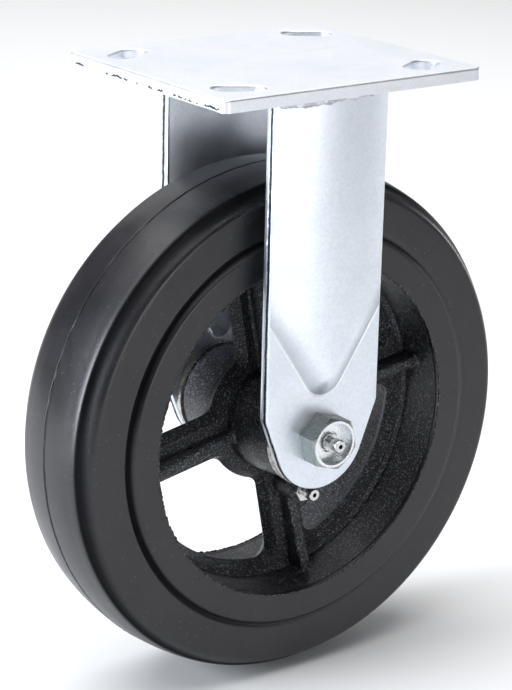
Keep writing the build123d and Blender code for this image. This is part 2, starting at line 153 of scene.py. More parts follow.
# Colours
plate_colours = (0.86, 0.88, 0.92, 1), (0.78, 0.81, 0.86, 1)
leg_colours = (0.80, 0.84, 0.90, 1), (0.71, 0.76, 0.83, 1)
bolt_colours = (0.80, 0.83, 0.85, 1), (0.72, 0.75, 0.77, 1)
# Painted shade on the flats of bolt and nut
bolt_flats_shade_colour = (0.36, 0.39, 0.38, 1)
weld_colours = (0.72, 0.74, 0.78, 1), (0.42, 0.43, 0.46, 1)
nipple_colours = (0.62, 0.63, 0.64, 1), (0.50, 0.48, 0.42, 1)
steel_colours = (0.56, 0.57, 0.58, 1), (0.34, 0.31, 0.26, 1)
insert_colours = (0.74, 0.74, 0.71, 1), (0.66, 0.66, 0.62, 1)
cage_colours = (0.13, 0.13, 0.13, 1), (0.09, 0.09, 0.09, 1)
iron_colours = (0.006, 0.006, 0.007, 1), (0.012, 0.012, 0.014, 1)
# Painted glints on the iron's grains
iron_glint_colour = (0.135, 0.14, 0.17, 1)
rubber_colours = (0.0095, 0.0092, 0.0115, 1), (0.0155, 0.0148, 0.0185, 1)
rubber_bloom_colour = (0.036, 0.034, 0.038, 1)
# Painted shade in the rubber's pits
pit_shade_colour = (0.002, 0.002, 0.002, 1)
crumb_colour = (0.10, 0.095, 0.09, 1)
# Painted shade in the tyre's cleft, its groove and the band below the shoulder
painted_shade_colour = (0.0025, 0.0025, 0.003, 1)
# Painted shade in the mouths of the grease nipples
mouth_shade_colour = (0.012, 0.011, 0.010, 1)
speck_colour = (0.30, 0.31, 0.33, 1)
# Dark rough fracture where edges were sheared, with painted shadow in it
fracture_and_shadow_colour = (0.045, 0.055, 0.075, 1)
# Painted shade for the crease's walls and the flat below it, and a painted highlight for the crease's
# foot
crease_wall_shade_colour = (0.36, 0.38, 0.41, 1)
flat_shade_colour = (0.50, 0.54, 0.60, 1)
crease_highlight_colour = (1.0, 1.0, 1.0, 1)
floor_colour = (0.90, 0.90, 0.905, 1)

# Camera, fitted to the view of the object
camera_azimuth = -36.49
camera_elevation = 18.007
camera_roll = 1.361
camera_place = (-0.53370, -0.71423, 0.17722)
camera_lens = 125.935
sensor_width = 36.0


# Meshes
def add_mesh(name, points, faces):
    """A smooth-shaded mesh object from points in millimetres."""
    mesh = bpy.data.meshes.new(name)
    mesh.from_pydata((np.asarray(points) * MM).tolist(), [], faces)
    mesh.polygons.foreach_set("use_smooth", [True] * len(mesh.polygons))
    mesh.update()
    piece = bpy.data.objects.new(name, mesh)
    bpy.context.scene.collection.objects.link(piece)
    return piece


def mark_points(piece, name, values):
    """Stores a value for each point of a piece, for its material to read."""
    mark = piece.data.attributes.new(name, "FLOAT", "POINT")
    mark.data.foreach_set("value", np.asarray(values, float).ravel())


def grid_faces(rows, columns, wrap_rows=False, wrap_columns=False):
    """Quads of a grid whose points are counted row by row."""
    row = np.arange(rows if wrap_rows else rows - 1)
    column = np.arange(columns if wrap_columns else columns - 1)
    first, second = [grid.ravel() for grid in np.meshgrid(row, column, indexing="ij")]
    below, beside = (first + 1) % rows, (second + 1) % columns
    corners = [first * columns + second, first * columns + beside,
               below * columns + beside, below * columns + second]
    return np.stack(corners, 1).tolist()


def wander(angles, seed, lowest, highest, fall=1.0):
    """A closed random curve over angles, about -1 to 1, made of waves from lowest to highest."""
    rng = np.random.default_rng(seed)
    waves = np.arange(lowest, highest + 1)
    phases = rng.uniform(0, 2 * math.pi, len(waves))
    sizes = (waves / lowest) ** -fall * rng.uniform(0.5, 1.5, len(waves))
    curve = np.zeros_like(angles)
    for wave, phase, size in zip(waves, phases, sizes):
        curve += size * np.cos(wave * angles + phase)
    return curve / (np.abs(curve).max() + 1e-9)


def on_wheel(radius, y, angle):
    """Points at this radius about the axle."""
    return np.stack([radius * np.cos(angle), y, axle_z + radius * np.sin(angle)], -1)


def rounded(corners, turns=3):
    """The open line through corners with its corners cut round."""
    line = np.array(corners, float)
    for _ in range(turns):
        near = line[:-1] * 0.75 + line[1:] * 0.25
        far = line[:-1] * 0.25 + line[1:] * 0.75
        middle = np.stack([near, far], 1).reshape(-1, 2)
        line = np.concatenate([line[:1], middle, line[-1:]])
    return line


# Nodes of a material
class Finish:
    """A procedural material, whose patterns are laid in millimetres on the object."""

    def __init__(self, name):
        self.material = bpy.data.materials.new(name)
        self.material.use_nodes = True
        self.tree = self.material.node_tree
        self.shader = self.tree.nodes["Principled BSDF"]
        place = self.add("TexCoord")
        self.place = self.add("VectorMath", {0: place.outputs["Object"], 1: (1000, 1000, 1000)},
                              operation="MULTIPLY").outputs[0]
        self.normal = None

    def add(self, kind, inputs=None, **settings):
        node = self.tree.nodes.new("ShaderNode" + kind)
        for name, value in settings.items():
            setattr(node, name, value)
        for name, value in (inputs or {}).items():
            if isinstance(value, bpy.types.NodeSocket):
                self.tree.links.new(value, node.inputs[name])
            else:
                node.inputs[name].default_value = value
        return node

    def noise(self, size, detail=3.0, rough=0.55, stretch=(1, 1, 1), turn=(0, 0, 0), warp=0.0):
        """Soft noise whose features are about size millimetres."""
        place = self.add("Mapping", {"Vector": self.place, "Scale": stretch, "Rotation": turn})
        made = self.add("TexNoise", {"Vector": place.outputs[0], "Scale": 1 / size, "Detail": detail,
                                     "Roughness": rough, "Distortion": warp})
        return made.outputs["Fac"]

    def cells(self, size):
        """The distance to the nearest of points about size millimetres apart."""
        made = self.add("TexVoronoi", {"Vector": self.place, "Scale": 1 / size})
        return made.outputs["Distance"]

    def spread(self, value, low, high, to_low=0.0, to_high=1.0):
        """value's range from low to high, carried softly to to_low and to_high."""
        made = self.add("MapRange", {0: value, 1: low, 2: high, 3: to_low, 4: to_high},
                        interpolation_type="SMOOTHSTEP")
        return made.outputs[0]

    def math(self, operation, first, second=0.0):
        return self.add("Math", {0: first, 1: second}, operation=operation).outputs[0]

    def blend(self, share, first, second):
        """first colour going over into second by share."""
        return self.add("Mix", {0: share, 6: first, 7: second}, data_type="RGBA").outputs[2]

    def raise_by(self, height, depth):
        """Adds relief depth millimetres deep to the surface."""
        inputs = {"Height": height, "Distance": depth * MM, "Strength": 1.0}
        if self.normal is not None:
            inputs["Normal"] = self.normal
        self.normal = self.add("Bump", inputs).outputs[0]
        self.tree.links.new(self.normal, self.shader.inputs["Normal"])

    def set(self, **values):
        """Sets the shader's inputs, with a low line for each space in their names."""
        for name, value in values.items():
            socket = self.shader.inputs[name.replace("_", " ")]
            if isinstance(value, bpy.types.NodeSocket):
                self.tree.links.new(value, socket)
            else:
                socket.default_value = value
        return self.material


def zinc(name, colours, gloss, grain):
    """Satin zinc with a fine grain, faint clouds and scratches, a dark rough band with painted shadow
    where it was sheared, and painted shade and a painted highlight along the pressed crease.
    """
    f = Finish(name)
    clouds = f.noise(34, 3, 0.5, warp=0.4)
    mottle = f.noise(1.3, 3, 0.6)
    fine = f.noise(0.42, 2, 0.6, stretch=(0.6, 0.6, 1.3))
    tone = f.math("ADD", f.math("MULTIPLY", clouds, 0.45), f.math("MULTIPLY", mottle, 0.55))
    colour = f.blend(f.spread(tone, 0.36, 0.64), *colours)
    lines = f.noise(2.2, 2, 0.4, stretch=(1.0, 1.0, 0.035), turn=(0.35, 0.5, 0.2))
    other = f.noise(2.6, 2, 0.4, stretch=(0.04, 1.0, 1.0), turn=(0.1, -0.6, 0.4))
    mark = f.math("MAXIMUM", f.spread(lines, 0.70, 0.74), f.spread(other, 0.71, 0.75))
    specks = f.spread(f.cells(6.5), 0.05, 0.03)
    colour = f.blend(f.math("MULTIPLY", specks, 0.35), colour, speck_colour)
    # Dark band where the edges were sheared: the rough fracture, with painted shadow along it
    shear_and_shadow = f.add("Attribute", attribute_name="shear_and_shadow").outputs["Fac"]
    ragged = f.noise(0.9, 3, 0.6, stretch=(1, 1, 0.4))
    fracture_and_shadow = f.spread(f.math("MULTIPLY", shear_and_shadow, f.spread(ragged, 0.25, 0.75, 0.7, 1.3)), 0.45, 0.6)
    colour = f.blend(fracture_and_shadow, colour, fracture_and_shadow_colour)
    crease = f.add("Attribute", attribute_name="crease").outputs["Fac"]
    inside = f.math("SUBTRACT", crease, crease_zero)
    wall = f.math("MULTIPLY", f.spread(inside, 0.0, 0.6), f.spread(inside, 7.5, 0.6))
    flat = f.math("MULTIPLY", f.spread(crease, 1.0, 2.0), f.spread(inside, 0.0, -0.6))
    edge = f.spread(f.math("ABSOLUTE", f.math("ADD", inside, 0.2)), 0.34, 0.08)
    # Painted shade on the walls of the pressed crease
    colour = f.blend(f.math("MULTIPLY", wall, 0.5), colour, crease_wall_shade_colour)
    # Painted shade, fainter, on the flat below the crease
    colour = f.blend(f.math("MULTIPLY", flat, 0.10), colour, flat_shade_colour)
    # Painted highlight along the foot of the crease, which also gets a small raised ridge
    colour = f.blend(f.math("MULTIPLY", edge, 0.8), colour, crease_highlight_colour)
    f.raise_by(edge, 0.10)
    rough = f.spread(f.noise(7, 3, 0.6), 0.3, 0.7, gloss[0], gloss[1])
    rough = f.math("ADD", rough, f.math("MULTIPLY", f.math("SUBTRACT", mottle, 0.5), 0.12))
    rough = f.math("SUBTRACT", rough, f.math("MULTIPLY", mark, 0.10))
    rough = f.math("ADD", rough, f.math("MULTIPLY", wall, 0.14))
    f.raise_by(mottle, grain)
    f.raise_by(fine, grain)
    f.raise_by(f.math("MULTIPLY", mark, -1.0), 0.012)
    f.set(Base_Color=colour, Metallic=1.0, Roughness=rough)
    return f.material


def turned_zinc(name):
    """A zinc-plated fastener with painted shade on its flats, and the rings that turning leaves round
    the axle.
    """
    f = Finish(name)
    clouds = f.noise(0.6, 2, 0.5)
    colour = f.blend(f.spread(clouds, 0.35, 0.65), *bolt_colours)
    parts = f.add("SeparateXYZ", {0: f.place})
    up = f.math("SUBTRACT", parts.outputs[2], axle_z)
    radius = f.math("SQRT", f.math("ADD", f.math("MULTIPLY", parts.outputs[0], parts.outputs[0]),
                                   f.math("MULTIPLY", up, up)))
    # Painted shade: the flats, beyond the turned face, are darker
    colour = f.blend(f.spread(radius, 9.2, 9.6), colour, bolt_flats_shade_colour)
    ring = f.add("CombineXYZ", {0: radius, 1: 0.0, 2: 0.0})
    rings = f.add("TexNoise", {"Vector": ring.outputs[0], "Scale": 2.2, "Detail": 3.0}).outputs["Fac"]
    f.raise_by(rings, 0.014)
    f.raise_by(f.noise(0.5, 2, 0.5), 0.004)
    rough = f.spread(clouds, 0.3, 0.7, 0.24, 0.34)
    f.set(Base_Color=colour, Metallic=1.0, Roughness=rough)
    return f.material


def weld_zinc(name):
    """Zinc over a weld bead and its spatter."""
    f = Finish(name)
    clouds = f.noise(3, 4, 0.6)
    colour = f.blend(f.spread(clouds, 0.35, 0.65), *weld_colours)
    f.raise_by(f.noise(2.2, 3, 0.6), 0.35)
    f.raise_by(f.noise(0.5, 3, 0.6), 0.06)
    f.set(Base_Color=colour, Metallic=1.0, Roughness=f.spread(clouds, 0.3, 0.7, 0.26, 0.5))
    return f.material


def in_mouth(f):
    """1 inside the mouth of a grease nipple, 0 elsewhere."""
    parts = f.add("SeparateXYZ", {0: f.place})
    mouths = []
    for centre in mouth_centres:
        aside = f.math("SUBTRACT", parts.outputs[0], centre[0])
        above = f.math("SUBTRACT", parts.outputs[2], centre[1])
        mouths.append(f.math("SQRT", f.math("ADD", f.math("MULTIPLY", aside, aside),
                                            f.math("MULTIPLY", above, above))))
    return f.spread(f.math("MINIMUM", *mouths), mouth_radius + 0.06, mouth_radius - 0.06)


def nipple_zinc(name):
    """Zinc with a faint yellow passivation, and painted shade in the mouths."""
    f = Finish(name)
    patches = f.noise(1.6, 3, 0.6)
    colour = f.blend(f.spread(patches, 0.50, 0.66), *nipple_colours)
    mouth = in_mouth(f)
    # Painted shade inside the mouths, which are also made non-metallic
    colour = f.blend(mouth, colour, mouth_shade_colour)
    metal = f.math("SUBTRACT", 1.0, mouth)
    f.raise_by(f.noise(0.5, 3, 0.6), 0.012)
    f.set(Base_Color=colour, Metallic=metal, Roughness=f.spread(f.noise(1.2, 3), 0.3, 0.7, 0.20, 0.36))
    return f.material


def plain_steel(name):
    """Ground bearing steel with a thin film of grease."""
    f = Finish(name)
    film = f.noise(3, 4, 0.6, warp=0.8)
    colour = f.blend(f.spread(film, 0.4, 0.62), *steel_colours)
    mouth = in_mouth(f)
    # Painted shade in the mouths of the grease nipples
    colour = f.blend(mouth, colour, mouth_shade_colour)
    f.raise_by(f.noise(0.4, 2, 0.5, stretch=(1, 0.15, 1)), 0.01)
    f.set(Base_Color=colour, Metallic=f.math("SUBTRACT", 1.0, mouth),
          Roughness=f.spread(film, 0.3, 0.7, 0.16, 0.36), Coat_Weight=0.1, Coat_Roughness=0.12)
    return f.material


def moulded_plastic(name, colours):
    """Moulded nylon with a faint flow pattern."""
    f = Finish(name)
    flow = f.noise(4, 3, 0.5, stretch=(1, 0.3, 1), warp=1.0)
    colour = f.blend(f.spread(flow, 0.35, 0.65), *colours)
    f.raise_by(f.noise(0.6, 3, 0.6), 0.012)
    f.set(Base_Color=colour, Roughness=f.spread(flow, 0.3, 0.7, 0.34, 0.5), Subsurface_Weight=0.06,
          Subsurface_Scale=0.001)
    return f.material


def black_iron(name):
    """Grey iron cast in sand, under a coat of black gloss, with painted glints: light specks where its
    grains would catch the light.
    """
    f = Finish(name)
    sand = f.noise(0.75, 3, 0.7)
    lumps = f.noise(3.2, 3, 0.55)
    tone = f.noise(14, 4, 0.6)
    colour = f.blend(f.spread(tone, 0.35, 0.65), *iron_colours)
    # Painted glints: light specks standing for grains catching the light
    glints = f.spread(f.noise(0.75, 2, 0.5), 0.54, 0.64)
    colour = f.blend(glints, colour, iron_glint_colour)
    f.raise_by(lumps, 0.25)
    f.raise_by(sand, 0.38)
    rough = f.spread(f.noise(5, 3, 0.6), 0.3, 0.7, 0.26, 0.40)
    f.set(Base_Color=colour, Roughness=rough, Specular_IOR_Level=0.35, Coat_Weight=0.12,
          Coat_Roughness=0.2)
    return f.material


def rubber(name):
    """Moulded rubber with a faint bloom, crumbs, and pits with painted shade in them, and painted
    shade, darker and less glossy, where the mesh marks it.
    """
    f = Finish(name)
    bloom = f.noise(26, 4, 0.6, warp=0.5)
    fine = f.noise(0.40, 3, 0.65)
    pits = f.spread(f.cells(2.6), 0.17, 0.09)
    crumbs = f.spread(f.cells(3.1), 0.13, 0.07)
    colour = f.blend(f.spread(bloom, 0.35, 0.65), *rubber_colours)
    colour = f.blend(f.math("MULTIPLY", f.spread(fine, 0.55, 0.75), 0.4), colour, rubber_bloom_colour)
    # Painted shade in the small pits
    colour = f.blend(pits, colour, pit_shade_colour)
    colour = f.blend(f.math("MULTIPLY", crumbs, 0.5), colour, crumb_colour)
    # Painted shade where the mesh's shade mark is set
    shade = f.add("Attribute", attribute_name="shade").outputs["Fac"]
    colour = f.blend(shade, colour, painted_shade_colour)
    f.raise_by(fine, 0.03)
    f.raise_by(f.noise(2.5, 3, 0.6), 0.03)
    f.raise_by(pits, -0.05)
    rough = f.math("ADD", f.spread(bloom, 0.3, 0.7, 0.28, 0.38),
                   f.math("MULTIPLY", f.math("SUBTRACT", fine, 0.5), 0.12))
    specular = f.spread(shade, 0.05, 0.8, 0.5, 0.04)
    f.set(Base_Color=colour, Roughness=rough, Specular_IOR_Level=specular)
    return f.material


finishes = {
    "plate_zinc": zinc("plate_zinc", plate_colours, (0.43, 0.50), 0.02),
    "leg_zinc": zinc("leg_zinc", leg_colours, (0.34, 0.44), 0.03),
    "weld_zinc": weld_zinc("weld_zinc"),
    "bolt_zinc": turned_zinc("bolt_zinc"),
    "nipple_zinc": nipple_zinc("nipple_zinc"),
    "plain_steel": plain_steel("plain_steel"),
    "insert_plastic": moulded_plastic("insert_plastic", insert_colours),
    "cage_plastic": moulded_plastic("cage_plastic", cage_colours),
    "black_iron": black_iron("black_iron"),
    "tyre_rubber": rubber("tyre_rubber"),
}

for entry in frame["record"]["subparts"]:
    slots = nodes[entry["node"]].data.materials
    slots.clear()
    slots.append(finishes[entry["material_slot"]])


# Tyre
def tyre_section():
    """Half of the tyre's section as (y, radius), from the crest of the tread to the rim's outside."""
    tread_radius = wheel_radius - ridge_height
    across = np.array([0, 0.15, 0.30, 0.45, 0.60, 0.78, 1.0, 1.4, 2.5, 4.5, 7.0, 9.5, 11.5])
    crown = np.stack([across, tread_radius - tread_crown * (across / tread_half) ** 2], 1)
    foot = tread_radius - tread_crown - shoulder_drop
    shoulder = rounded([
        (tread_half - 0.8, tread_radius - 0.93 * tread_crown),
        (tread_half + 1.8, tread_radius - tread_crown - 0.35),
        (tread_half + 3.6, tread_radius - tread_crown - 0.95),
        (tread_half + 4.6, tread_radius - tread_crown - 2.3),
        (sidewall_y - 1.4, foot + 6.6),
        (sidewall_y - 0.1, foot + 5.0),
        (sidewall_y, foot + 3.0),
    ], 2)
    across_groove = np.linspace(groove_reach, -groove_reach, 25)
    step = np.clip(across_groove / groove_reach + 0.5, 0, 1)
    rise = (sidewall_y - band_y) * step**2 * (3 - 2 * step)
    hollow = groove_depth * np.exp(-((across_groove / groove_spread) ** 2))
    groove = np.stack([band_y + rise - hollow, groove_radius + across_groove], 1)
    flank = [(sidewall_y, (foot + groove_radius + groove_reach) / 2)]
    band = [(band_y, groove_radius - 5.5), (band_y, lip_radius + 2.5), (band_y, lip_radius + 1.4)]
    lip = rounded([(band_y, lip_radius + 0.9), (band_y, lip_radius), (band_y - 0.9, lip_radius)], 1)
    inside = [(rim_half_width, lip_radius), (rim_half_width, rim_outer_radius), (0.0, rim_outer_radius)]
    return np.concatenate([crown, shoulder, flank, groove, band, lip, inside])


def seam_line(angles, middle):
    """The wandering line of the parting seam, as y."""
    return middle + seam_wander * wander(angles, seed=seam_seed, lowest=3, highest=90, fall=0.35)


def build_tyre():
    """The tyre with its seam, groove and ragged lip."""
    half = tyre_section()
    other = half[-2:0:-1] * (-1, 1)
    section = np.concatenate([half, other])
    angles = np.linspace(0, 2 * math.pi, tyre_steps, endpoint=False)
    y, radius = [np.repeat(column[None, :], tyre_steps, 0) for column in section.T]
    turned = np.repeat(angles[:, None], len(section), 1)

    # The parting seam is a ragged cleft, deep and shallow by turns
    on_tread = radius > wheel_radius - 2.5
    cleft = np.clip(0.75 + 0.6 * wander(angles, seed=5, lowest=6, highest=150, fall=0.25), 0, 1)
    from_cleft = (y - seam_line(angles, cleft_y)[:, None]) / cleft_spread
    near_seam = on_tread * np.exp(-(from_cleft**4)) * cleft[:, None]
    radius = radius - cleft_depth * near_seam

    # The moulded groove fades away toward the lower right, and the lip at the rim is ragged
    from_groove = (radius - groove_radius) / groove_spread
    in_groove = np.exp(-(from_groove**2)) * (np.abs(y) > rim_half_width - 1.5)
    deep = np.clip(0.62 + 0.55 * np.cos(angles - groove_angle), groove_least, 1)[:, None]
    y = y + np.sign(y) * in_groove * (1.0 - deep) * groove_depth * 0.8
    on_lip = (np.abs(y) > band_y - 0.6) & (radius < lip_radius + 0.8)
    ragged = wander(angles, seed=6, lowest=30, highest=200, fall=0.2) * lip_raggedness
    radius = radius + np.where(on_lip, ragged[:, None], 0)

    # Painted shade, darker and less glossy rubber: in the cleft, in the groove and in a band below the
    # shoulder
    under_tread = np.clip((shade_band_down_to - (wheel_radius - radius)) / 3.0, 0, 1)
    shade_band = np.clip((np.abs(y) - shade_band_from_y) / 1.2, 0, 1) * under_tread
    shade = np.maximum.reduce([0.85 * in_groove * deep, near_seam, 0.75 * shade_band])
    points = on_wheel(radius, y, turned).reshape(-1, 3)
    tyre = add_mesh("rubber_tyre", points, grid_faces(tyre_steps, len(section), True, True))
    mark_points(tyre, "shade", shade)
    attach(tyre, "wheel")
    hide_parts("tyre")
    tyre.data.materials.append(finishes["tyre_rubber"])


def ring_of_flash(name, place, thickness, steps, slot):
    """A ragged thread of flash round the wheel. place and thickness are functions of the angle."""
    angles = np.linspace(0, 2 * math.pi, steps, endpoint=False)
    around = np.linspace(0, 2 * math.pi, 7, endpoint=False)
    y, radius = place(angles)
    size = thickness(angles)
    y = y[:, None] + size[:, None] * np.sin(around)
    radius = radius[:, None] + size[:, None] * np.cos(around)
    turned = np.repeat(angles[:, None], len(around), 1)
    flash = add_mesh(name, on_wheel(radius, y, turned).reshape(-1, 3),
                     grid_faces(steps, len(around), True, True))
    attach(flash, "wheel")
    flash.data.materials.append(finishes[slot])


def build_flash():
    """The threads of flash along the parting seam and at both sides of the rim."""
    def seam(angles):
        y = seam_line(angles, flash_y) + 0.05 * wander(angles, seed=8, lowest=60, highest=300, fall=0)
        return y, np.full_like(angles, wheel_radius - ridge_height - 0.02)

    def seam_size(angles):
        return flash_size + 0.09 * wander(angles, seed=9, lowest=5, highest=260, fall=0.3)

    ring_of_flash("parting_flash", seam, seam_size, flash_steps, "tyre_rubber")
    for side, end in ((-1, "front"), (1, "rear")):
        def lip(angles):
            inward = 0.2 * wander(angles, seed=11 + side, lowest=8, highest=120, fall=0.4)
            outward = 0.35 * wander(angles, seed=14 + side, lowest=20, highest=220, fall=0.25)
            return side * (band_y - 0.25 + inward), lip_radius + 0.05 + outward

        def lip_size(angles):
            ragged = wander(angles, seed=17 + side, lowest=12, highest=260, fall=0.2)
            return rim_flash_size + 0.26 * ragged

        ring_of_flash(end + "_rim_flash", lip, lip_size, rim_flash_steps, "black_iron")


# Legs
def inside_crease(across, up, inset):
    """How far a place lies inside the crease line."""
    on_nose = across * math.sin(crease_angle) + up * math.cos(crease_angle) < 0
    beside = across * math.cos(crease_angle) - up * math.sin(crease_angle)
    return crease_nose_radius - inset - np.where(on_nose, np.hypot(across, up), beside)


def swelling(across, up, inset):
    """How far a pressed leg stands out: its crown, or the crease's wall where that is lower."""
    radius = crown_radius - inset
    crown = np.sqrt(radius**2 - across**2) - radius + crown_depth
    wall = inside_crease(across, up, inset) * crease_wall_slope
    return (crown + wall - np.hypot(crown - wall, crown_blend)) / 2


def leg_half_outline(up, inset):
    """The leg's half width at heights up from the axle, drawn in by inset."""
    end = leg_end_radius - inset
    width = leg_half_width - inset
    foot_x, foot_up = end * math.cos(leg_taper), -end * math.sin(leg_taper)
    tapered = foot_x + (up - foot_up) * math.tan(leg_taper)
    round_end = np.sqrt(np.maximum(end**2 - up**2, 0))
    return np.where(up > foot_up, np.minimum(tapered, width), round_end)


def leg_face():
    """The x of a face's points, their height above the axle, and the rows and columns at the hole."""
    end = leg_end_radius - edge_roll
    crease_top, crease_foot = crease_z - axle_z + 25, crease_z - axle_z - 12
    end_angle = np.linspace(math.radians(72), math.radians(4), 26)
    ups = np.concatenate([
        np.linspace(plate_low[2] - axle_z, crease_top, 115, endpoint=False),
        np.linspace(crease_top, crease_foot, 92, endpoint=False),
        np.linspace(crease_foot, -end * math.cos(end_angle[0]), 22, endpoint=False),
        -end * np.cos(end_angle),
    ])
    shares = np.linspace(-1, 1, leg_columns)
    x = shares[None, :] * leg_half_outline(ups, edge_roll)[:, None]
    up = np.repeat(ups[:, None], leg_columns, 1)
    up[-1] = -np.sqrt(end**2 - x[-1] ** 2)

    # The points round the hole are drawn from a rectangle to a circle
    hole_rows = np.where(np.abs(ups) < axle_hole_radius)[0]
    hole_columns = np.where(np.abs(x[hole_rows[len(hole_rows) // 2]]) < axle_hole_radius)[0]
    low_row, high_row = hole_rows[0], hole_rows[-1]
    low_column, high_column = hole_columns[0], hole_columns[-1]
    edge_x = abs(x[(low_row + high_row) // 2, low_column])
    edge_up = max(abs(ups[low_row]), abs(ups[high_row]))
    square = np.maximum(np.abs(x) / edge_x, np.abs(up) / edge_up)
    far = np.hypot(x, up)
    share = np.clip((square - 1) / 0.9, 0, 1)
    drawn = axle_hole_radius * square
    scale = np.where(far > 0, ((1 - share) * drawn + share * far) / np.maximum(far, 1e-6), 1)
    return x * scale, up * scale, (low_row, high_row, low_column, high_column)


def side_profile():
    """The rings of a leg's side: how far out, how deep below the outer face, and 1 where rough."""
    roll = edge_roll
    quarter = np.radians([22.5, 45, 67.5, 90])
    profile = [(roll * math.sin(turn), roll * (1 - math.cos(turn)), 0) for turn in quarter]
    profile += [(roll - sheared_hollow * math.sin(math.pi * part), roll + sheared_depth * part, 1)
                for part in (0.25, 0.5, 0.75)]
    profile += [(roll, roll + sheared_depth, 0), (roll, roll + sheared_depth + 0.2, 0)]
    profile += [(roll, leg_thickness - inner_corner, 0), (roll - 0.12, leg_thickness - 0.08, 0)]
    return profile


def outward(x, up):
    """The direction away from the leg at each point of its border, and the length run so far."""
    along_x, along_up = np.gradient(x), np.gradient(up)
    length = np.hypot(along_x, along_up)
    out_x, out_up = along_up / length, -along_x / length
    flip = np.sign((out_x * x).sum())
    return out_x * flip, out_up * flip, np.cumsum(length)


def build_leg(name, node, side):
    """A pressed leg with rolled edges, a sheared band along its sides and a pressed crease."""
    x, up, (low_row, high_row, low_column, high_column) = leg_face()
    over_crease = up + axle_z - crease_z
    outer = leg_outer_y + np.maximum(swelling(np.abs(x), over_crease, 0), 0)
    inner = leg_inner_y + np.maximum(swelling(np.abs(x), over_crease, leg_thickness), 0)
    inside = inside_crease(np.abs(x), over_crease, 0).ravel() + crease_zero
    points = [np.stack([x, side * outer, up + axle_z], -1).reshape(-1, 3),
              np.stack([x, side * inner, up + axle_z], -1).reshape(-1, 3)]
    start = x.size
    index = np.arange(start).reshape(x.shape)

    # The outer and the inner face, without the cells in the axle's hole
    cell = np.array(grid_faces(*x.shape))
    row, column = cell[:, 0] // leg_columns, cell[:, 0] % leg_columns
    in_hole = (row >= low_row) & (row < high_row) & (column >= low_column) & (column < high_column)
    front = cell[~in_hole]
    faces = front.tolist() + (front[:, ::-1] + start).tolist()

    # The sheared sides, from the outer face's border round to the inner face's
    border = np.concatenate([index[:, 0], index[-1, 1:-1], index[::-1, -1]])
    border_x, border_up = x.ravel()[border], up.ravel()[border]
    out_x, out_up, run = outward(border_x, border_up)
    outer_y, inner_y = outer.ravel()[border], inner.ravel()[border]
    rng = np.random.default_rng(31)
    # The rough rings are marked for the dark fracture band, which carries painted shadow as well
    shear_and_shadow = [np.zeros(2 * start)]
    rings = [border]
    count = start * 2
    for out, depth, ragged in side_profile():
        rough = ragged * rng.uniform(-0.13, 0.10, len(border))
        shift = ragged * 0.22 * np.sin(run / 2.3 + 2.5 * np.sin(run / 7.1))
        share = (depth + shift) / leg_thickness
        y = outer_y * (1 - share) + inner_y * share
        ring = np.stack([border_x + out_x * (out + rough), side * y,
                         axle_z + border_up + out_up * (out + rough)], -1)
        points.append(ring)
        shear_and_shadow.append(np.full(len(border), ragged))
        rings.append(np.arange(count, count + len(border)))
        count += len(border)
    rings.append(border + start)
    for ring, following in zip(rings[:-1], rings[1:]):
        faces += np.stack([ring[:-1], following[:-1], following[1:], ring[1:]], 1).tolist()

    # The top end under the plate, and the wall of the axle's hole
    ends = [ring[-1] for ring in rings[1:-1]][::-1]
    starts = [ring[0] for ring in rings[1:-1]]
    faces.append(starts + [index[0, 0] + start]
                 + (index[0, 1:] + start).tolist() + ends + index[0, ::-1].tolist())
    block = np.concatenate([
        index[low_row, low_column:high_column], index[low_row:high_row, high_column],
        index[high_row, high_column:low_column:-1], index[high_row:low_row:-1, low_column]])
    after = np.roll(block, -1)
    faces += np.stack([block, after, after + start, block + start], 1).tolist()

    leg = add_mesh(name, np.concatenate(points), faces)
    mark_points(leg, "shear_and_shadow", np.concatenate(shear_and_shadow))
    mark_points(leg, "crease", np.concatenate([inside, np.zeros(len(leg.data.vertices) - start)]))
    work = bmesh.new()
    work.from_mesh(leg.data)
    bmesh.ops.recalc_face_normals(work, faces=work.faces)
    work.to_mesh(leg.data)
    work.free()
    leg.data.set_sharp_from_angle(angle=math.radians(50))
    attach(leg, "fork")
    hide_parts(node)
    leg.data.materials.append(finishes["leg_zinc"])


# Weld beads
def build_weld(name, node, side, seed):
    """A rippled bead in the corner between the plate and a leg, heavy at one end."""
    steps, turns = 260, 13
    along = np.linspace(0, 1, steps)
    half_angle = math.asin((leg_half_width - weld_inset) / crown_radius)
    angle = half_angle * (2 * along - 1)
    rng = np.random.default_rng(seed)
    scallop = np.abs(np.sin(along * math.pi * weld_scallops + 0.8 * np.sin(along * 19)))
    lumps = wander(along * math.pi, seed, lowest=2, highest=26, fall=0.5)
    size = weld_heavy - weld_taper * along + 0.30 * scallop + 0.55 * lumps
    size *= np.clip(np.minimum(along, 1 - along) / 0.03, 0.05, 1) ** 0.5
    share = np.linspace(0, 1, turns)
    swing = share * math.pi / 2
    bulge = 0.74 + 0.26 * np.abs(np.cos(2 * swing))
    out = size[:, None] * np.cos(swing) * bulge
    down = size[:, None] * np.sin(swing) * bulge
    crust = 0.05 * rng.standard_normal((steps, turns))
    crust[:, 0] = crust[:, -1] = 0
    radius = crown_radius + out + crust
    centre_y = crown_radius - crown_depth - leg_outer_y
    x = radius * np.sin(angle)[:, None]
    y = side * -(centre_y - radius * np.cos(angle)[:, None])
    z = plate_low[2] - down + crust

    # The root of the bead, sunk into the corner of plate and leg
    root = crown_radius - weld_inset
    x = np.concatenate([x, (root * np.sin(angle))[:, None]], 1)
    y = np.concatenate([y, (side * -(centre_y - root * np.cos(angle)))[:, None]], 1)
    z = np.concatenate([z, np.full((steps, 1), plate_low[2])], 1)
    points = np.stack([x, y, z], -1).reshape(-1, 3)
    faces = grid_faces(steps, turns + 1, False, True)
    faces.append(list(range(turns + 1)))
    faces.append(list(range((steps - 1) * (turns + 1), steps * (turns + 1)))[::-1])
    bead = add_mesh(name, points, faces)
    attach(bead, "fork")
    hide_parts(node)
    bead.data.materials.append(finishes["weld_zinc"])


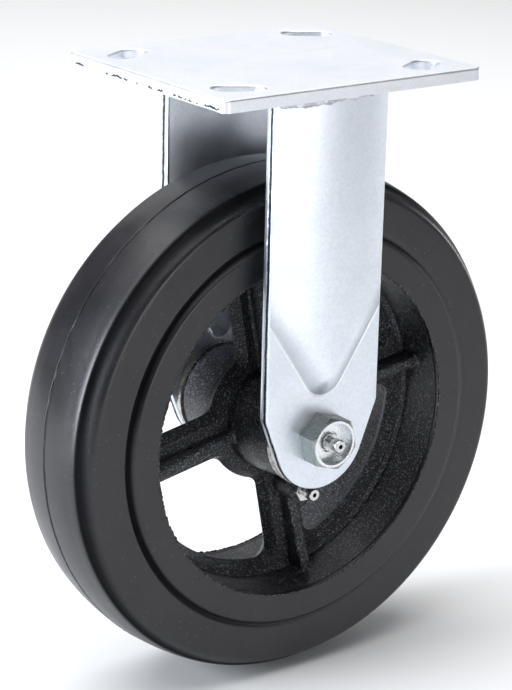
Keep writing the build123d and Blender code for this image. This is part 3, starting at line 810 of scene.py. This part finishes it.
# Plate
def build_shear_band(name, side, seed):
    """The ragged band that shearing leaves along the foot of one end of the plate, with painted shadow
    in dashes along its top.
    """
    steps = 420
    along = np.linspace(0, 1, steps)
    turn = along * math.pi
    half_length = plate_high[1] - band_inset
    height = band_height + 0.55 * wander(turn, seed, lowest=6, highest=160, fall=0.45)
    # Patches along the band where the painted shadow lies
    shadow_patches = np.clip(2.5 * wander(turn, seed + 1, lowest=4, highest=60, fall=0.5) + 0.35, 0, 1)
    rng = np.random.default_rng(seed)

    # Rows from the foot of the band to its top, then two more behind it, inside the plate
    levels = np.array([0.0, 0.3, 0.55, 0.8, 1.0, 1.0, 0.0])
    out = np.array([0.03, 0.10, 0.14, 0.12, 0.02]) * (1 + 0.4 * rng.uniform(-1, 1, (steps, 5)))
    inside = np.full((steps, 2), -0.3)
    # Painted shadow in dashes along the band's ragged top, where its step casts shade
    step_shadow = np.array([0, 0, 0.6, 1.1, 0.9, 0, 0])
    columns = len(levels)
    x = side * (plate_high[0] + np.concatenate([out, inside], 1))
    y = np.repeat((half_length * (2 * along - 1))[:, None], columns, 1)
    z = plate_low[2] + height[:, None] * levels
    z[:, [0, -1]] += 0.02
    faces = grid_faces(steps, columns, False, True)
    faces.append(list(range(columns)))
    faces.append(list(range((steps - 1) * columns, steps * columns))[::-1])
    band = add_mesh(name, np.stack([x, y, z], -1).reshape(-1, 3), faces)
    mark_points(band, "shear_and_shadow", shadow_patches[:, None] * step_shadow)
    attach(band, "fork")
    band.data.materials.append(finishes["plate_zinc"])


# Fasteners
def round_edges(name, width):
    """Breaks the sharp edges of a node that is shown as it is."""
    node = nodes[name]
    weld = node.modifiers.new("weld", "WELD")
    weld.merge_threshold = 0.002 * MM
    bevel = node.modifiers.new("bevel", "BEVEL")
    bevel.width = width * MM
    bevel.segments = 3
    bevel.limit_method = "ANGLE"
    bevel.angle_limit = math.radians(32)
    bevel.harden_normals = True


build_tyre()
build_flash()
build_leg("pressed_front_leg", "front_leg", -1)
build_leg("pressed_rear_leg", "rear_leg", 1)
build_weld("front_weld_bead", "front_leg_weld", -1, 21)
build_weld("rear_weld_bead", "rear_leg_weld", 1, 22)
build_shear_band("left_shear_band", -1, 41)
build_shear_band("right_shear_band", 1, 43)
for name, width in (("axle_bolt", 0.3), ("lock_nut", 0.2), ("axle_grease_nipple", 0.12),
                    ("hub_grease_nipple", 0.12)):
    round_edges(name, width)


# Floor and light
def stage_floor(height, half_size):
    """A plain pale floor."""
    mesh = bpy.data.meshes.new("floor")
    corners = [(-half_size, -half_size, height), (half_size, -half_size, height),
               (half_size, half_size, height), (-half_size, half_size, height)]
    mesh.from_pydata(corners, [], [(0, 1, 2, 3)])
    floor = bpy.data.objects.new("floor", mesh)
    bpy.context.scene.collection.objects.link(floor)
    f = Finish("floor_white")
    f.set(Base_Color=floor_colour, Roughness=0.9, Specular_IOR_Level=0.1)
    mesh.materials.append(f.material)


def softbox(name, place, target, size, radiance, colour=(1, 1, 1)):
    """A soft rectangular light whose face has this radiance."""
    light = bpy.data.lights.new(name, "AREA")
    light.shape = "RECTANGLE"
    light.size, light.size_y = size
    light.energy = radiance * math.pi * size[0] * size[1]
    light.color = colour
    lamp = bpy.data.objects.new(name, light)
    bpy.context.scene.collection.objects.link(lamp)
    lamp.location = place
    lamp.rotation_euler = (Vector(target) - Vector(place)).to_track_quat("-Z", "Y").to_euler()


stage_floor((axle_z - wheel_radius) * MM, 6.0)
middle = (0.0, 0.0, -0.12)
softbox("overhead", (-0.2, 0.2, 1.7), middle, (2.6, 2.6), 2.55)
softbox("left", (-1.05, 0.20, 0.05), middle, (0.35, 0.8), 18.0, (0.86, 0.92, 1.0))
softbox("key", (0.12, -1.30, -0.02), middle, (0.55, 0.34), 5.4)
softbox("behind", (0.9, 1.3, 0.75), middle, (1.8, 1.0), 0.9)
softbox("right", (1.20, 0.12, -0.03), middle, (0.40, 0.30), 5.0)
world = bpy.data.worlds.new("studio")
world.use_nodes = True
world.node_tree.nodes["Background"].inputs["Color"].default_value = (0.94, 0.97, 1.0, 1)
world.node_tree.nodes["Background"].inputs["Strength"].default_value = 0.15
bpy.context.scene.world = world
bpy.context.scene.view_settings.view_transform = "Standard"


# Camera
def aim_camera():
    """Sets the camera by its azimuth, elevation and roll."""
    azimuth = math.radians(camera_azimuth)
    elevation = math.radians(camera_elevation)
    roll = math.radians(camera_roll)
    back = Vector((math.sin(azimuth) * math.cos(elevation), -math.cos(azimuth) * math.cos(elevation),
                   math.sin(elevation)))
    right = Vector((math.cos(azimuth), math.sin(azimuth), 0.0))
    up = back.cross(right)
    side = right * math.cos(roll) + up * math.sin(roll)
    above = up * math.cos(roll) - right * math.sin(roll)
    data = bpy.data.cameras.new("camera")
    data.sensor_width = sensor_width
    data.lens = camera_lens
    data.clip_start = 0.05
    data.clip_end = 50
    camera = bpy.data.objects.new("camera", data)
    bpy.context.scene.collection.objects.link(camera)
    turned = Matrix((side, above, back)).transposed().to_4x4()
    camera.matrix_world = Matrix.Translation(camera_place) @ turned
    bpy.context.scene.camera = camera


aim_camera()
